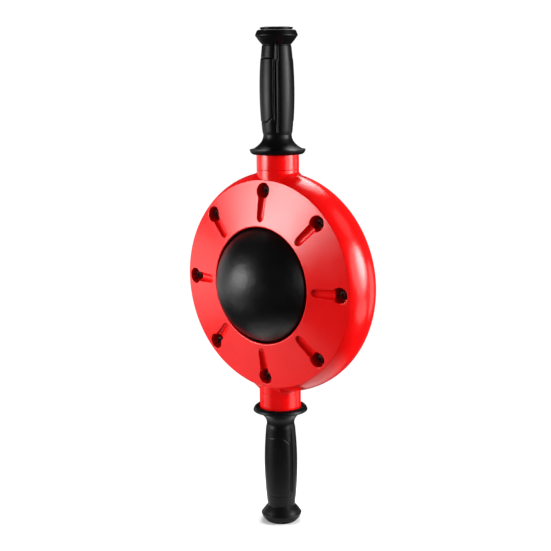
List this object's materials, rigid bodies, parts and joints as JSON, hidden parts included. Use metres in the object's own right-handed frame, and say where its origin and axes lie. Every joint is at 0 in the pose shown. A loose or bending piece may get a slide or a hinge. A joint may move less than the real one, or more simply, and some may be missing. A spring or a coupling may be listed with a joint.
{
  "type": "rolling-ball core trainer",
  "caption": "Captive rubber ball that rolls any way in a round disc housing of bolted shells, with a rubber-gripped handle on each side.",
  "frame": {"origin": "centre of the rolling ball, which is the centre of the whole object's box", "axes": "+Z along the two handles, Y along the disc housing's axis with the front face towards -Y, +X to the right"},
  "size_m": [0.228, 0.129, 0.514],
  "materials": {
    "housing_red": "gloss moulded plastic",
    "collar_red": "gloss moulded plastic",
    "bolt_steel": "black oxide, satin",
    "washer_steel": "zinc plated",
    "nut_steel": "zinc plated",
    "bearing_ring_plastic": "natural acetal",
    "support_ball_steel": "polished",
    "ball_filling": "cast compound",
    "ball_hard_plastic": "moulded plastic",
    "ball_rubber": "semi-matt moulded rubber",
    "tube_steel": "drawn steel tube",
    "insert_plastic": "moulded plastic",
    "grip_rubber": "satin moulded rubber",
    "plug_plastic": "moulded plastic"
  },
  "bodies": {
    "housing": {"front_shell": "housing_red", "rear_shell": "housing_red", "housing_bolts": "bolt_steel", "housing_washers": "washer_steel", "housing_nuts": "nut_steel", "front_bearing_ring": "bearing_ring_plastic", "rear_bearing_ring": "bearing_ring_plastic", "front_support_balls": "support_ball_steel", "rear_support_balls": "support_ball_steel", "upper_handle_tube": "tube_steel", "lower_handle_tube": "tube_steel", "upper_tube_insert": "insert_plastic", "lower_tube_insert": "insert_plastic", "upper_collar": "collar_red", "lower_collar": "collar_red", "upper_grip": "grip_rubber", "lower_grip": "grip_rubber", "upper_end_plug": "plug_plastic", "lower_end_plug": "plug_plastic"},
    "ball_inner": {"ball_core": "ball_filling"},
    "ball_middle": {"ball_hard_shell_front": "ball_hard_plastic", "ball_hard_shell_rear": "ball_hard_plastic"},
    "ball_outer": {"ball_skin": "ball_rubber"}
  },
  "joints": [
    {"name": "ball_roll_forward", "type": "hinge", "parent": "housing", "child": "ball_inner", "pos_m": [0, 0, 0], "axis": [0, 0, 1], "continuous": true},
    {"name": "ball_roll_sideways", "type": "hinge", "parent": "ball_inner", "child": "ball_middle", "pos_m": [0, 0, 0], "axis": [1, 0, 0], "continuous": true},
    {"name": "ball_spin", "type": "hinge", "parent": "ball_middle", "child": "ball_outer", "pos_m": [0, 0, 0], "axis": [0, 1, 0], "continuous": true}
  ]
}
